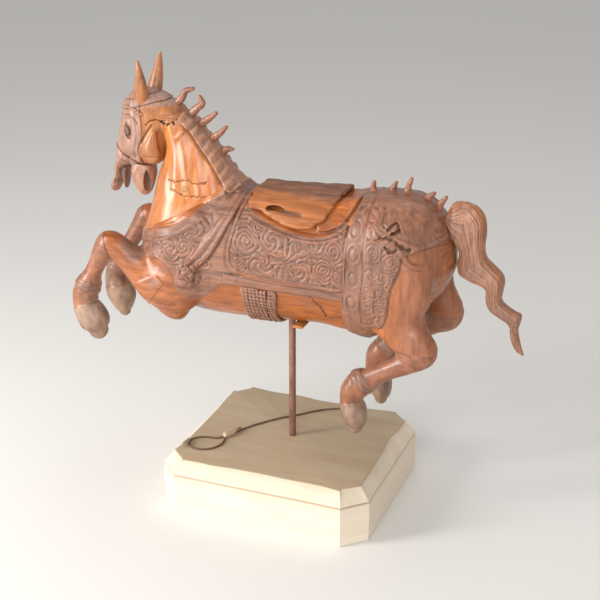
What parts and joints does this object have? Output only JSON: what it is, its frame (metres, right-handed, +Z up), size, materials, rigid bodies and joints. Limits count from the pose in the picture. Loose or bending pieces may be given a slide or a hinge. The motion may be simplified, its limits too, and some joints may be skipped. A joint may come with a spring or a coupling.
{
  "type": "carved horse figurine",
  "caption": "Leaping carved wooden horse with saddle and trappings, held on a slim metal rod over a bevelled wooden plinth with a loose twine on it.",
  "frame": {"origin": "centre of the plinth underside", "axes": "+Z up, -X towards the horse's head, -Y towards its left side"},
  "size_m": [0.5336, 0.225, 0.499],
  "materials": {
    "pine": "sanded softwood under a thin matt wax",
    "carved_wood": "red-brown carved hardwood, waxed and worn, grey-mauve in the carved grounds",
    "raw_wood": "rough-sawn orange hardwood",
    "hoof_wood": "pale scraped wood with remains of paint",
    "rod_copper": "copper-brown patina",
    "iron": "dark iron",
    "batten": "dark stained wood with bare edges",
    "dowel_wood": "plain beech dowel",
    "twine": "dark twisted twine",
    "twine_pale": "pale bound thread"
  },
  "bodies": {
    "stand": {"plinth_lower_board": "pine", "plinth_screws": "iron", "plinth_top_board": "pine", "twine_bead": "twine_pale", "twine_knot": "twine", "twine_loop": "twine", "twine_run": "twine", "twine_tassel": "twine_pale"},
    "rod": {"support_rod": "rod_copper"},
    "horse": {"barrel": "carved_wood", "belly_plate": "batten", "chest_core": "carved_wood", "chest_dowels": "dowel_wood", "croup_core": "carved_wood", "croup_dowels": "dowel_wood", "croup_spikes": "carved_wood", "ear_left": "carved_wood", "ear_right": "carved_wood", "elbow_dowels": "dowel_wood", "elbow_nails": "iron", "fore_cannon_left": "carved_wood", "fore_cannon_right": "carved_wood", "fore_hoof_left": "hoof_wood", "fore_hoof_right": "hoof_wood", "forearm_left": "carved_wood", "forearm_right": "carved_wood", "girth_block": "carved_wood", "haunch_dowels": "dowel_wood", "haunch_left": "carved_wood", "haunch_right": "carved_wood", "head": "carved_wood", "head_dowel": "dowel_wood", "head_nails": "iron", "hind_cannon_left": "carved_wood", "hind_cannon_right": "carved_wood", "hind_hoof_left": "hoof_wood", "hind_hoof_right": "hoof_wood", "hoof_dowels": "dowel_wood", "knee_and_hock_dowels": "dowel_wood", "lower_jaw": "carved_wood", "mane_locks": "carved_wood", "neck": "carved_wood", "neck_dowels": "dowel_wood", "neck_plug": "carved_wood", "saddle_pegs": "dowel_wood", "saddle_seat": "raw_wood", "shoulder_dowels": "dowel_wood", "shoulder_left": "carved_wood", "shoulder_right": "carved_wood", "tail": "carved_wood", "tail_dowel": "dowel_wood"}
  },
  "joints": [
    {"name": "rod_turn", "type": "hinge", "parent": "stand", "child": "rod", "pos_m": [0, 0, 0.064], "axis": [0, 0, 1], "continuous": true},
    {"name": "horse_lift", "type": "slide", "parent": "rod", "child": "horse", "axis": [0, 0, 1], "range_m": [0, 0.06]}
  ]
}
